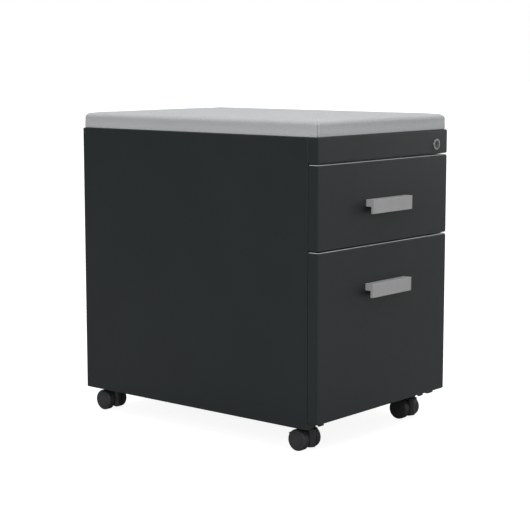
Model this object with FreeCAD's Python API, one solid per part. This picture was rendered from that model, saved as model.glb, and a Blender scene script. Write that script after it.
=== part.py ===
import FreeCAD, Part
import math
import os

# Mobile box/file pedestal: a steel filing cabinet on four twin-wheel casters, with a seat cushion.
# Built with x = 0 on the centre line, y = 0 on the drawers' front faces and z = 0 on the floor.
# save() then moves every piece so that the origin is the bottom centre of the whole object.

# Case
case_width = 381.0
case_depth = 556.5            # drawer front faces to back panel
case_height = 493.2           # side panels, without casters and cushion
sheet = 1.2                   # panels and fronts
bend_radius = 2.4             # outer corners of the folded top and bottom edges
corner_radius = 1.2           # upright corners of the fronts and side panels
return_flange = 18.0          # front flange of a side panel
bottom_flange = 15.0
top_flange = 15.0
stiffening_flange = 12.0      # top, back and pan flanges
pan_rise = 10.0               # bottom pan above the side panels' lower edge
upright_width = 30.0
upright_setback = 30.0        # front upright behind the carcass front; the lock bar runs before it
upright_top_gap = 15.0

# Fronts
front_depth = 21.0            # thickness of a drawer front
front_clearance = 1.2         # gap between a closed drawer front and the case
front_gap = 3.0               # gap between fronts
fascia_height = 43.0
box_front_height = 142.0
file_front_rise = 12.0        # lower edge of the file front above the side panels' lower edge
liner_flange = 10.0

# Pulls
pull_length = 115.0
pull_height = 24.0
pull_projection = 16.3
pull_block_height = 12.0
pull_lip_thickness = 5.5
pull_edge_radius = 0.8
pull_drop = 64.3              # pull's top below its front's top edge
pull_screw_spacing = 96.0
pull_screw_radius = 2.0
pull_screw_engagement = 8.0

# Drawers and slides
drawer_wall = 1.0
drawer_hem = 8.0
box_body_rise = 11.0          # drawer body's floor above its front's lower edge
file_body_rise = 18.0
box_body_top_gap = 27.0       # drawer body's rim below its front's top
file_body_top_gap = 40.2
drawer_back_gap = 50.0        # drawer body's back to the back panel
rail_thickness = 3.0          # hanging-file rails
rail_height = 26.0
rail_stand = 12.0             # rails above the drawer sides
rail_end_gap = 4.0
slide_thickness = 12.7
slide_height = 45.0
slide_sheet = 1.2
slide_front_gap = 6.0         # closed slide behind the drawer's liner
slide_back_gap = 49.5         # closed slide to the back panel
ball_gap = 3.5                # height of a ball track
slide_mouth = 2.0             # members' lips stop short of the neighbour's web by this
box_slide_rise = 29.0         # slide's centre above the drawer body's floor
file_slide_rise = 80.0
slide_screw_radius = 2.2
slide_screw_head_radius = 3.6
slide_screw_head = 1.0

# Lock
lock_inset = 35.7             # lock axis from the case's right side
lock_rise = 17.1              # lock axis above the fascia's lower edge
lock_bezel_radius = 10.0
lock_bezel_depth = 1.6
lock_barrel_radius = 8.5
lock_barrel_spare = 1.5       # barrel's end behind the top panel's apron
lock_plug_radius = 7.0
lock_plug_proud = 1.0         # plug's face before the front
keyway_width = 1.8
keyway_height = 8.0
keyway_depth = 6.0
lock_nut_flats = 22.0
lock_nut_thickness = 4.0
cam_thickness = 2.0
cam_radius = 11.0             # cam pin from the lock axis
cam_pin_radius = 1.5
cam_pin_land = 1.5            # metal round the pin
cam_turn_deg = 90.0
cam_bar_gap = 0.8
cam_screw_radius = 1.5
cam_screw_head_radius = 3.0
bar_thickness = 2.0
bar_width = 11.0
bar_wall_gap = 2.3            # bar to the side panel's inner face
bar_slot_land = 2.5           # metal above and below the slot
bar_slot_end = 1.5            # metal at the slot's free end
bar_tab_height = 9.0
catch_thickness = 2.0
catch_reach = 17.0            # catch plate behind the drawer's liner
catch_below_top = 17.0        # box catch's top below the box front's top
file_catch_below_top = 32.0
catch_post = 11.0             # catch plate below its notch
notch_margin = 1.2
notch_side_gap = 1.0
guide_height = 12.0
guide_side = 1.8
guide_back = 3.0
box_guide_drop = 52.0         # guides' centres below the top of each front
file_guide_drop = 2.0

# Cushion
cushion_thickness = 28.5
cushion_side_inset = 0.5
cushion_front_inset = 2.0
cushion_back_inset = 0.2
cushion_top_radius = 7.0
cushion_corner_radius = 4.0
board_thickness = 9.0
board_inset = 12.0            # board inside the cushion's outline
board_screw_radius = 2.0
board_screw_head_radius = 4.0
board_screw_inset_x = 70.0
board_screw_inset_y = 95.0

# Casters
wheel_radius = 19.0
wheel_top_gap = 7.0           # wheels' top to the side panels' lower edge
wheel_width = 14.5
wheel_gap = 19.0              # between the two wheels of a caster
wheel_shoulder = 2.8
wheel_dome = 1.1              # hub's face beyond the shoulder
wheel_edge = 0.8              # chamfer of the tread's inner edge
wheel_rim = 4.0
wheel_disc = 3.0
wheel_hub_radius = 5.5
caster_trail = 15.0           # axle behind the swivel stem
caster_inset_x = 40.4         # stem from the case's side
caster_front_inset = 44.0     # stem from the front faces
caster_back_inset = 38.5      # stem from the back panel
axle_radius = 2.5
stem_radius = 4.0
stem_collar_radius = 7.0
stem_collar = 2.2
socket_floor_gap = 6.0
socket_wheel_gap = 1.5
socket_round = 3.0            # rounding of the socket's lower end
web_wheel_gap = 1.5
socket_cap_lip = 1.3          # cap's radius beyond half the wheel gap
socket_cap = 2.5
hood_top_gap = 6.0            # hood's top below the side panels' lower edge
hood_web_inset = 6.0          # web's radius inside the wheels' radius
tail_reach = 36.0             # rear hood's tail behind the stem
tail_drop = 6.0               # tail's fall from the hood's top to its tip
brake_reach = 43.0            # brake lever's tip behind the stem
brake_thickness = 2.6
brake_drop = 13.0             # lever's fall from pivot to tip
brake_pin_radius = 1.4
brake_eye_radius = 3.0
brake_ear = 1.5               # thickness of the hood's ears beside the lever
caster_rail_width = 36.0
caster_rail_thickness = 2.5
caster_rail_end_gap = 4.0
caster_lug_width = 9.0        # down-turned ends of the front rail
caster_tab_width = 14.0
caster_nut_flats = 13.0
caster_nut_thickness = 6.0
stem_top_spare = 3.0

# Counterweight
weight_width = 280.0
weight_depth = 35.0
weight_height = 60.0
weight_back_gap = 3.0
weight_chamfer = 2.0

# Fits
running_gap = 0.05            # radial, pins and shafts
soft_gap = 0.3                # round a soft or loosely fitted piece
slot_gap = 0.45               # cam pin to slot, up and down
sliding_gap = 0.3             # flat pieces that slide past each other

# Derived places
half_width = case_width / 2
base = 2 * wheel_radius + wheel_top_gap
top = base + case_height
carcass_front = front_depth + front_clearance
side_inner = half_width - sheet
pan_top = base + pan_rise + sheet
fascia_bottom = top - fascia_height
box_front_top = fascia_bottom - front_gap
box_front_bottom = box_front_top - box_front_height
file_front_top = box_front_bottom - front_gap
file_front_bottom = base + file_front_rise
file_front_height = file_front_top - file_front_bottom
slide_outer_face = half_width - return_flange
drawer_half = slide_outer_face - slide_thickness
drawer_back = case_depth - drawer_back_gap
slide_start = front_depth + slide_front_gap
slide_end = case_depth - slide_back_gap
box_floor = box_front_bottom + box_body_rise
file_floor = file_front_bottom + file_body_rise
box_body_height = box_front_height - box_body_rise - box_body_top_gap
file_body_height = file_front_height - file_body_rise - file_body_top_gap
box_slide_z = box_floor + box_slide_rise
file_slide_z = file_floor + file_slide_rise
lock_x = half_width - lock_inset
lock_z = fascia_bottom + lock_rise
barrel_end = carcass_front + sheet + lock_barrel_spare
cam_front = barrel_end + sliding_gap
bar_front = cam_front + cam_thickness + cam_bar_gap
bar_back = bar_front + bar_thickness
bar_right = side_inner - bar_wall_gap
bar_left = bar_right - bar_width
cam_rest_deg = cam_turn_deg / 2
bar_travel = 2 * cam_radius * math.sin(math.radians(cam_rest_deg))
catch_left = (drawer_half + slide_outer_face) / 2 - catch_thickness / 2
box_catch_top = box_front_top - catch_below_top
file_catch_top = file_front_top - file_catch_below_top
wheel_inner = wheel_gap / 2
wheel_outer = wheel_inner + wheel_width
socket_radius = wheel_inner - socket_wheel_gap
socket_cap_radius = wheel_inner + socket_cap_lip
hood_web_radius = wheel_radius - hood_web_inset
web_half = wheel_inner - web_wheel_gap
hood_top = base - hood_top_gap
stem_low = 2 * socket_floor_gap + stem_radius
stem_x = half_width - caster_inset_x
front_stem_y = caster_front_inset
rear_stem_y = case_depth - caster_back_inset
overall_depth = case_depth + pull_projection
centre_shift = FreeCAD.Vector(0, pull_projection - overall_depth / 2, 0)

X = FreeCAD.Vector(1, 0, 0)
Y = FreeCAD.Vector(0, 1, 0)
Z = FreeCAD.Vector(0, 0, 1)


def vec(x, y, z):
    return FreeCAD.Vector(x, y, z)


def block(x0, x1, y0, y1, z0, z1):
    return Part.makeBox(x1 - x0, y1 - y0, z1 - z0, vec(x0, y0, z0))


def rod(radius, start, axis, length):
    return Part.makeCylinder(radius, length, start, axis)


def hexagon(flats, start, axis, length):
    """Hexagonal bar with a given width across its flats."""
    corner = flats / math.sqrt(3)
    across = Z if axis.isEqual(Y, 1e-6) else X
    points = []
    for step in range(7):
        turn = FreeCAD.Rotation(axis, 60.0 * step)
        points.append(start + turn.multVec(across * corner))
    return Part.Face(Part.makePolygon(points)).extrude(axis * length)


def side_prism(outline, x0, x1):
    """Prism along x over an outline of (y, z) points."""
    points = [vec(x0, y, z) for y, z in outline]
    return Part.Face(Part.makePolygon(points + points[:1])).extrude(X * (x1 - x0))


def turned(outline, centre):
    """Ring about an axis along x through centre, from (x, radius) points."""
    points = [centre + vec(x, 0, r) for x, r in outline]
    return Part.Face(Part.makePolygon(points + points[:1])).revolve(centre, X, 360)


def mirrored(shape):
    return shape.mirror(vec(0, 0, 0), X)


def rounded(shape, radius, test):
    """Fillet the straight edges whose two ends both pass the test."""
    edges = [edge for edge in shape.Edges
             if len(edge.Vertexes) == 2 and all(test(vertex.Point) for vertex in edge.Vertexes)]
    return shape.makeFillet(radius, edges)


def near(value, target):
    return abs(value - target) < 1e-4


def folded(front):
    """Front block with crisp upright corners and rounder top and bottom edges."""
    for x in (-half_width, half_width):
        front = rounded(front, corner_radius, lambda p: near(p.y, 0) and near(p.x, x))
    for z in (front.BoundBox.ZMin, front.BoundBox.ZMax):
        front = rounded(front, bend_radius, lambda p: near(p.y, 0) and near(p.z, z))
    return front


def save(name, *pieces):
    shape = pieces[0] if len(pieces) == 1 else Part.makeCompound(list(pieces))
    moved = shape.copy()
    moved.translate(centre_shift)
    moved.exportStep(f"parts/{name}.step")


# Case

def side_panel():
    """Right side panel: flat sheet with front, bottom and top return flanges."""
    panel = block(side_inner, half_width, carcass_front, case_depth, base, top)
    flange_x = half_width - return_flange
    front = block(flange_x, half_width, carcass_front, carcass_front + sheet, base, top)
    foot_x = half_width - bottom_flange
    foot = block(foot_x, half_width, carcass_front, case_depth, base, base + sheet)
    head_x = half_width - top_flange
    head = block(head_x, half_width, carcass_front, case_depth, top - sheet, top)
    panel = panel.fuse([front, foot, head]).removeSplitter()
    panel = rounded(panel, corner_radius, lambda p: near(p.x, half_width) and near(p.y, carcass_front))
    for z in (base, top):
        panel = rounded(panel, bend_radius, lambda p: near(p.x, half_width) and near(p.z, z))
    return panel


def back_panel():
    outer = block(-side_inner, side_inner, case_depth - stiffening_flange, case_depth,
                  base + sheet, top - sheet)
    inner = block(sheet - side_inner, side_inner - sheet, case_depth - stiffening_flange - sheet,
                  case_depth - sheet, base + 2 * sheet, top - 2 * sheet)
    notch = block(-side_inner, side_inner, case_depth - stiffening_flange - sheet,
                  case_depth - sheet, base, pan_top + stiffening_flange)
    head = block(-side_inner, side_inner, case_depth - stiffening_flange - sheet,
                 case_depth - sheet, top - stiffening_flange - sheet, top)
    return outer.cut(inner).cut(notch).cut(head)


def top_panel():
    half = half_width - top_flange - sliding_gap
    plate = block(-half, half, carcass_front + sheet, case_depth, top - sheet, top)
    skirt_low = top - stiffening_flange
    skirt_back = case_depth - sheet
    right = block(half - sheet, half, carcass_front + sheet, skirt_back, skirt_low, top)
    back = block(-half, half, skirt_back - sheet, skirt_back, skirt_low, top)
    apron_half = slide_outer_face - sliding_gap
    apron = block(-apron_half, apron_half, carcass_front, carcass_front + sheet,
                  fascia_bottom + front_gap, top)
    panel = plate.fuse([right, mirrored(right), back, apron]).removeSplitter()
    barrel_hole = rod(lock_barrel_radius + soft_gap, vec(lock_x, 0, lock_z), Y, carcass_front * 2)
    panel = panel.cut(barrel_hole)
    for x, y in board_screw_places():
        panel = panel.cut(rod(board_screw_radius + soft_gap, vec(x, y, top - 2 * sheet), Z, 4 * sheet))
    return panel


def bottom_pan():
    back = case_depth - sheet
    plate = block(-side_inner, side_inner, carcass_front + sheet, back, pan_top - sheet, pan_top)
    side = block(side_inner - sheet, side_inner, carcass_front + sheet, back, base + sheet, pan_top)
    rear = block(-side_inner, side_inner, back - sheet, back, pan_top - sheet,
                 pan_top + stiffening_flange)
    pan = plate.fuse([side, mirrored(side), rear]).removeSplitter()
    for x, y in stem_places():
        pan = pan.cut(rod(stem_radius + soft_gap, vec(x, y, base), Z, pan_rise * 2))
    return pan


def lock_fascia():
    """Fixed front rail above the drawers, open at the back, with the lock's hole."""
    outer = folded(block(-half_width, half_width, 0, carcass_front, fascia_bottom, top))
    inner = block(-side_inner, side_inner, sheet, carcass_front + sheet,
                  fascia_bottom + sheet, top - sheet)
    hole = rod(lock_barrel_radius + running_gap, vec(lock_x, -sheet, lock_z), Y, 3 * sheet)
    return outer.cut(inner).cut(hole)


def upright(y_start):
    """Channel that carries the slides, open towards the right side panel."""
    z_top = top - upright_top_gap
    outer = block(slide_outer_face, side_inner, y_start, y_start + upright_width, pan_top, z_top)
    inner = block(slide_outer_face + sheet, side_inner, y_start + sheet,
                  y_start + upright_width - sheet, pan_top, z_top)
    channel = outer.cut(inner)
    for z in (box_slide_z, file_slide_z):
        hole = rod(slide_screw_radius + running_gap, vec(slide_outer_face - sheet, y_start
                   + upright_width / 2, z), X, 3 * sheet)
        channel = channel.cut(hole)
    return channel


def upright_starts():
    front = carcass_front + upright_setback
    rear = slide_end - upright_width - 2 * slide_front_gap
    return (front, rear)


def slide_screw(y_start, z):
    """Pan-head screw that holds a slide's outer member to an upright, right side."""
    web_inner = slide_outer_face - slide_sheet
    y = y_start + upright_width / 2
    head = rod(slide_screw_head_radius, vec(web_inner - slide_screw_head, y, z), X, slide_screw_head)
    shank = rod(slide_screw_radius, vec(web_inner, y, z), X, slide_sheet + 2 * sheet)
    return head.fuse(shank)


def caster_rail(stem_y, with_tabs):
    """Flat cross member under the bottom pan that the caster stems bolt through."""
    half = half_width - bottom_flange - sheet - caster_rail_end_gap
    z_top = pan_top - sheet
    z_low = z_top - caster_rail_thickness
    rail = block(-half, half, stem_y - caster_rail_width / 2, stem_y + caster_rail_width / 2,
                 z_low, z_top)
    if with_tabs:
        for side in (-1, 1):
            x0 = side * stem_x - caster_tab_width / 2
            x1 = side * stem_x + caster_tab_width / 2
            y0 = carcass_front + sliding_gap
            arm = block(x0, x1, y0, stem_y - caster_rail_width / 2, z_low, z_top - sheet)
            tab = block(x0, x1, y0, y0 + caster_rail_thickness, base + sheet / 2, z_top - sheet)
            rail = rail.fuse([arm, tab])
            lug_x = sorted((side * half, side * (half - caster_lug_width)))
            lug_y = stem_y - caster_rail_width / 2
            lug = block(*lug_x, lug_y, lug_y + caster_rail_thickness, base + 2 * sheet, z_low)
            rail = rail.fuse(lug)
        rail = rail.removeSplitter()
    for side in (-1, 1):
        rail = rail.cut(rod(stem_radius + soft_gap, vec(side * stem_x, stem_y, base), Z, pan_rise * 2))
    return rail


def counterweight():
    y1 = case_depth - 2 * sheet - weight_back_gap
    body = block(-weight_width / 2, weight_width / 2, y1 - weight_depth, y1,
                 pan_top, pan_top + weight_height)
    rim = [edge for edge in body.Edges if near(edge.CenterOfMass.z, pan_top + weight_height)]
    return body.makeChamfer(weight_chamfer, rim)


# Cushion

def board_screw_places():
    x = half_width - board_screw_inset_x
    ys = (board_screw_inset_y, case_depth - board_screw_inset_y)
    return [(side * x, y) for side in (-1, 1) for y in ys]


def cushion_outline(inset):
    """x and y limits of the cushion, drawn in by inset."""
    x = half_width - cushion_side_inset - inset
    return -x, x, cushion_front_inset + inset, case_depth - cushion_back_inset - inset


def seat_cushion():
    x0, x1, y0, y1 = cushion_outline(0)
    z1 = top + cushion_thickness
    body = block(x0, x1, y0, y1, top + soft_gap, z1)
    upright_edges = [edge for edge in body.Edges if near(edge.BoundBox.ZLength, z1 - top - soft_gap)]
    body = body.makeFillet(cushion_corner_radius, upright_edges)
    rim = [edge for edge in body.Edges if near(edge.BoundBox.ZMin, z1)]
    body = body.makeFillet(cushion_top_radius, rim)
    x0, x1, y0, y1 = cushion_outline(board_inset - soft_gap)
    return body.cut(block(x0, x1, y0, y1, top, top + board_thickness + soft_gap))


def cushion_board():
    x0, x1, y0, y1 = cushion_outline(board_inset)
    board = block(x0, x1, y0, y1, top, top + board_thickness)
    for x, y in board_screw_places():
        board = board.cut(rod(board_screw_radius + running_gap, vec(x, y, top), Z,
                              board_thickness - sheet + running_gap))
    return board


def cushion_screws():
    screws = []
    for x, y in board_screw_places():
        head_low = top - 2 * sheet - board_screw_radius / 2
        head = rod(board_screw_head_radius, vec(x, y, head_low), Z, top - sheet - head_low)
        shank = rod(board_screw_radius, vec(x, y, top - sheet), Z, board_thickness)
        screws.append(head.fuse(shank))
    return screws


# Lock

def lock_housing():
    bezel = rod(lock_bezel_radius, vec(lock_x, -lock_bezel_depth, lock_z), Y, lock_bezel_depth)
    rim = [edge for edge in bezel.Edges if near(edge.BoundBox.YMax, -lock_bezel_depth)]
    bezel = bezel.makeFillet(lock_bezel_depth / 2, rim)
    barrel = rod(lock_barrel_radius, vec(lock_x, 0, lock_z), Y, barrel_end)
    bore = rod(lock_plug_radius + running_gap, vec(lock_x, -lock_bezel_depth, lock_z), Y,
               lock_bezel_depth + barrel_end)
    return bezel.fuse(barrel).cut(bore)


def lock_nut():
    nut = hexagon(lock_nut_flats, vec(lock_x, sheet, lock_z), Y, lock_nut_thickness)
    return nut.cut(rod(lock_barrel_radius + running_gap, vec(lock_x, sheet, lock_z), Y,
                       lock_nut_thickness))


def lock_plug():
    plug = rod(lock_plug_radius, vec(lock_x, -lock_plug_proud, lock_z), Y, lock_plug_proud + cam_front)
    keyway = block(lock_x - keyway_width / 2, lock_x + keyway_width / 2, -lock_plug_proud,
                   keyway_depth - lock_plug_proud, lock_z - keyway_height / 2,
                   lock_z + keyway_height / 2)
    thread = rod(cam_screw_radius + running_gap, vec(lock_x, cam_front / 2, lock_z), Y, cam_front)
    return plug.cut(keyway).cut(thread)


def lock_cam():
    """Cam with a drive pin, pointing up and outwards in the unlocked position."""
    hub = rod(lock_plug_radius, vec(lock_x, cam_front, lock_z), Y, cam_thickness)
    arm_half = cam_pin_radius + cam_pin_land
    arm = block(lock_x, lock_x + cam_radius, cam_front, cam_front + cam_thickness,
                lock_z - arm_half, lock_z + arm_half)
    tip = rod(arm_half, vec(lock_x + cam_radius, cam_front, lock_z), Y, cam_thickness)
    pin = rod(cam_pin_radius, vec(lock_x + cam_radius, cam_front, lock_z), Y,
              bar_back + sheet - cam_front)
    cam = hub.fuse([arm, tip, pin]).removeSplitter()
    cam = cam.cut(rod(cam_screw_radius + running_gap, vec(lock_x, cam_front, lock_z), Y, cam_thickness))
    cam.rotate(vec(lock_x, cam_front, lock_z), Y, -cam_rest_deg)
    return cam


def lock_cam_screw():
    seat = cam_front + cam_thickness
    head = rod(cam_screw_head_radius, vec(lock_x, seat, lock_z), Y, bar_thickness)
    start = cam_front / 2 + sliding_gap
    shank = rod(cam_screw_radius, vec(lock_x, start, lock_z), Y, seat - start)
    return head.fuse(shank)


def lock_bar():
    """Flat bar behind the right flange, with a slotted head for the cam pin and two tabs."""
    pin_x = lock_x + cam_radius * math.cos(math.radians(cam_rest_deg))
    pin_z = lock_z + cam_radius * math.sin(math.radians(cam_rest_deg))
    slot_left = pin_x - cam_pin_radius - sliding_gap
    slot_right = lock_x + cam_radius + cam_pin_radius + sliding_gap
    slot_half = cam_pin_radius + slot_gap
    head_half = slot_half + bar_slot_land
    head = block(slot_left - bar_slot_end, bar_right, bar_front, bar_back,
                 pin_z - head_half, pin_z + head_half)
    low = file_catch_top + notch_margin
    bar = block(bar_left, bar_right, bar_front, bar_back, low, pin_z + head_half)
    tab_left = catch_left - sheet
    tabs = [block(tab_left, bar_right, bar_front, bar_back, z + notch_margin,
                  z + notch_margin + bar_tab_height) for z in (box_catch_top, file_catch_top)]
    slot = block(slot_left, slot_right, bar_front, bar_back, pin_z - slot_half, pin_z + slot_half)
    return bar.fuse([head] + tabs).removeSplitter().cut(slot)


def lock_bar_guide(z):
    outer = block(bar_left - guide_side, side_inner, carcass_front + sheet, bar_back + guide_back,
                  z - guide_height / 2, z + guide_height / 2)
    gap = sliding_gap
    return outer.cut(block(bar_left - gap, bar_right + gap, bar_front - gap, bar_back + gap,
                           z - guide_height, z + guide_height))


def catch(z_top):
    """Notched plate on a drawer; the lock bar's tab drops into the notch."""
    z_low = z_top - bar_travel - catch_post
    plate = block(catch_left, catch_left + catch_thickness, front_depth, front_depth + catch_reach,
                  z_low, z_top)
    foot = block(drawer_half + sheet / 2, catch_left + catch_thickness, front_depth,
                 front_depth + catch_thickness, z_low, z_top - bar_travel)
    notch = block(drawer_half, slide_outer_face, bar_front - notch_side_gap,
                  bar_back + notch_side_gap, z_top - bar_travel, z_top)
    return plate.fuse(foot).removeSplitter().cut(notch)


# Drawers

def front_skin(z0, z1):
    """Folded outer skin of a drawer front, open at the back."""
    outer = folded(block(-half_width, half_width, 0, front_depth, z0, z1))
    skin = outer.cut(block(-side_inner, side_inner, sheet, front_depth, z0 + sheet, z1 - sheet))
    for x in pull_screw_places():
        skin = skin.cut(rod(pull_screw_radius + soft_gap, vec(x, 0, pull_screw_z(z1)), Y, sheet))
    return skin


def front_liner(z0, z1):
    """Inner skin that closes a drawer front's back."""
    outer = block(-side_inner, side_inner, front_depth - liner_flange, front_depth,
                  z0 + sheet, z1 - sheet)
    return outer.cut(block(sheet - side_inner, side_inner - sheet, front_depth - liner_flange,
                           front_depth - sheet, z0 + 2 * sheet, z1 - 2 * sheet))


def pull_screw_places():
    return (-pull_screw_spacing / 2, pull_screw_spacing / 2)


def pull_screw_z(z1):
    return z1 - pull_drop - pull_block_height / 2


def pull(z1):
    """Inverted-L pull: a block on the front and a lip that hangs before a finger gap."""
    z_top = z1 - pull_drop
    half = pull_length / 2
    lip_back = pull_lip_thickness - pull_projection
    outline = [(0, z_top), (-pull_projection, z_top), (-pull_projection, z_top - pull_height),
               (lip_back, z_top - pull_height), (lip_back, z_top - pull_block_height),
               (0, z_top - pull_block_height)]
    body = side_prism(outline, -half, half)
    body = rounded(body, pull_edge_radius, lambda p: near(p.y, -pull_projection))
    for x in pull_screw_places():
        body = body.cut(rod(pull_screw_radius + running_gap, vec(x, -pull_screw_engagement,
                            pull_screw_z(z1)), Y, pull_screw_engagement))
    return body


def pull_screws(z1):
    screws = []
    for x in pull_screw_places():
        z = pull_screw_z(z1)
        head = rod(2 * pull_screw_radius, vec(x, sheet, z), Y, pull_screw_radius)
        shank = rod(pull_screw_radius, vec(x, sheet / 2 - pull_screw_engagement, z), Y,
                    pull_screw_engagement + sheet / 2)
        screws.append(head.fuse(shank))
    return screws


def drawer_body(floor, height):
    """Open tray with a folded hem round its rim."""
    inner = drawer_half - drawer_wall
    tray = block(-drawer_half, drawer_half, front_depth, drawer_back, floor, floor + height)
    tray = rounded(tray, 2 * drawer_wall, lambda p: near(p.z, floor) and abs(p.x) > inner)
    hollow = block(-inner, inner, front_depth + drawer_wall, drawer_back - drawer_wall,
                   floor + drawer_wall, floor + height - drawer_hem)
    hollow = rounded(hollow, drawer_wall, lambda p: near(p.z, floor + drawer_wall))
    mouth = block(drawer_wall - inner, inner - drawer_wall, front_depth + 2 * drawer_wall,
                  drawer_back - 2 * drawer_wall, floor + drawer_wall * 3, floor + height)
    return tray.cut(hollow).cut(mouth)


def hanging_rail():
    """Right bar that hanging folders hook over, fixed inside the file drawer's rim."""
    x1 = drawer_half - 2 * drawer_wall
    z1 = file_floor + file_body_height + rail_stand
    bar = block(x1 - rail_thickness, x1, front_depth + 2 * drawer_wall + rail_end_gap,
                drawer_back - 2 * drawer_wall - rail_end_gap, z1 - rail_height, z1)
    return bar.makeFillet(rail_thickness / 3, [edge for edge in bar.Edges
                          if near(edge.CenterOfMass.z, z1) and edge.Length > rail_height])


# Slides of the right side; a member's places across are counted from the drawer's side

def slide_channel(web_start, lip_end, half_height, z):
    """C-shaped member: a web slide_sheet thick at web_start and two lips that reach to lip_end."""
    x_low = drawer_half + min(web_start, lip_end)
    x_high = drawer_half + max(web_start + slide_sheet, lip_end)
    outer = block(x_low, x_high, slide_start, slide_end, z - half_height, z + half_height)
    inner_half = half_height - slide_sheet
    if lip_end < web_start:
        x_high = drawer_half + web_start
    else:
        x_low = drawer_half + web_start + slide_sheet
    return outer.cut(block(x_low, x_high, slide_start, slide_end, z - inner_half, z + inner_half))


def slide_outer(z):
    web = slide_thickness - slide_sheet
    member = slide_channel(web, slide_mouth, slide_height / 2, z)
    for y_start in upright_starts():
        hole = rod(slide_screw_radius + running_gap, vec(slide_outer_face - 2 * slide_sheet,
                   y_start + upright_width / 2, z), X, 3 * slide_sheet)
        member = member.cut(hole)
    return member


def slide_middle(z):
    web = slide_thickness - 2 * slide_sheet - slide_screw_head - 2 * sliding_gap
    return slide_channel(web, slide_mouth + slide_sheet, slide_height / 2 - slide_sheet - ball_gap, z)


def slide_inner(z):
    lip_end = slide_thickness - 2 * slide_sheet - slide_screw_head - 2 * sliding_gap - slide_mouth
    return slide_channel(0, lip_end, slide_height / 2 - 2 * (slide_sheet + ball_gap), z)


# Casters, built about a stem at (x, y)

def stem_places():
    return [(side * stem_x, y) for y in (front_stem_y, rear_stem_y) for side in (-1, 1)]


def caster_stem(x, y):
    """Swivel stem: shank in the hood, collar, hexagon up to the rail and threaded end."""
    shank = rod(stem_radius, vec(x, y, stem_low), Z,
                pan_top + caster_nut_thickness + stem_top_spare - stem_low)
    collar = rod(stem_collar_radius, vec(x, y, hood_top + sliding_gap), Z, stem_collar)
    hex_low = hood_top + sliding_gap + stem_collar
    hex_top = pan_top - sheet - caster_rail_thickness
    hexed = hexagon(caster_nut_flats, vec(x, y, hex_low), Z, hex_top - hex_low)
    return shank.fuse([collar, hexed])


def caster_nut(x, y):
    nut = hexagon(caster_nut_flats, vec(x, y, pan_top), Z, caster_nut_thickness)
    return nut.cut(rod(stem_radius + running_gap, vec(x, y, pan_top), Z, caster_nut_thickness))


def brake_pivot(y):
    """y and z of the brake lever's pivot."""
    return y + caster_trail, hood_top - brake_eye_radius


def caster_hood(x, y, has_brake):
    axle_y = y + caster_trail
    socket_top = hood_top - socket_cap
    socket = rod(socket_radius, vec(x, y, socket_floor_gap), Z, socket_top - socket_floor_gap)
    low_edges = [edge for edge in socket.Edges if near(edge.BoundBox.ZMax, socket_floor_gap)]
    socket = socket.makeFillet(socket_round, low_edges)
    cap = rod(socket_cap_radius, vec(x, y, socket_top), Z, socket_cap)
    web = rod(hood_web_radius, vec(x - web_half, axle_y, wheel_radius), X, 2 * web_half)
    spine = block(x - web_half, x + web_half, y, axle_y, socket_floor_gap + axle_radius,
                  socket_top - axle_radius)
    hood = socket.fuse([cap, web, spine])
    if has_brake:
        pivot_y, pivot_z = brake_pivot(y)
        ear = rod(brake_eye_radius, vec(x - web_half, pivot_y, pivot_z), X, 2 * web_half)
        post = block(x - web_half, x + web_half, pivot_y - brake_eye_radius,
                     pivot_y + brake_eye_radius, wheel_radius + axle_radius * 2, pivot_z)
        slot_radius = brake_eye_radius + 2 * sliding_gap
        lever_half = web_half - brake_ear + sliding_gap
        slot = block(x - lever_half, x + lever_half, pivot_y - slot_radius, pivot_y + slot_radius,
                     pivot_z - slot_radius, pivot_z + slot_radius)
        pin = rod(brake_pin_radius, vec(x - web_half, pivot_y, pivot_z), X, 2 * web_half)
        ears = ear.fuse(post).cut(slot)
        hood = hood.cut(slot).fuse([ears, pin])
    else:
        tail_y = y + tail_reach
        tail_half = web_half + sliding_gap
        tail_top = hood_top - sliding_gap
        tail_low = tail_top - tail_drop
        tail = side_prism([(y, tail_top), (axle_y, tail_top), (tail_y, tail_low),
                           (tail_y, tail_low - brake_thickness), (axle_y, tail_top - 2 * brake_thickness),
                           (y, tail_top - 2 * brake_thickness)], x - tail_half, x + tail_half)
        hood = hood.fuse(tail)
    hood = hood.removeSplitter()
    hood = hood.cut(rod(axle_radius + running_gap / 2, vec(x - web_half, axle_y, wheel_radius), X,
                        2 * web_half))
    return hood.cut(rod(stem_radius + running_gap, vec(x, y, socket_floor_gap * 2), Z, base))


def brake_lever(x, y):
    """Foot lever hinged on the hood's pin, reaching out behind the wheels."""
    pivot_y, pivot_z = brake_pivot(y)
    lever_half = web_half - brake_ear
    eye = rod(brake_eye_radius, vec(x - lever_half, pivot_y, pivot_z), X, 2 * lever_half)
    tip_y = y + brake_reach
    tip_top = pivot_z + brake_eye_radius - brake_drop
    outline = [(pivot_y, pivot_z + brake_eye_radius), (tip_y, tip_top),
               (tip_y, tip_top - brake_thickness), (pivot_y, pivot_z)]
    arm = side_prism(outline, x - lever_half, x + lever_half)
    pad_y = pivot_y + 2 * brake_eye_radius
    slope = brake_drop / (tip_y - pivot_y)
    pad_top = pivot_z + brake_eye_radius - slope * (pad_y - pivot_y)
    pad = side_prism([(pad_y, pad_top), (tip_y, tip_top), (tip_y, tip_top - brake_thickness),
                      (pad_y, pad_top - brake_thickness)], x - web_half, x + web_half)
    lever = eye.fuse([arm, pad]).removeSplitter()
    return lever.cut(rod(brake_pin_radius + running_gap, vec(x - web_half, pivot_y, pivot_z), X,
                         2 * web_half))


def axle_end():
    return wheel_outer - wheel_disc - sliding_gap


def caster_axle(x, y):
    reach = axle_end() - 2 * sliding_gap
    return rod(axle_radius, vec(x - reach, y + caster_trail, wheel_radius), X, 2 * reach)


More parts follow.
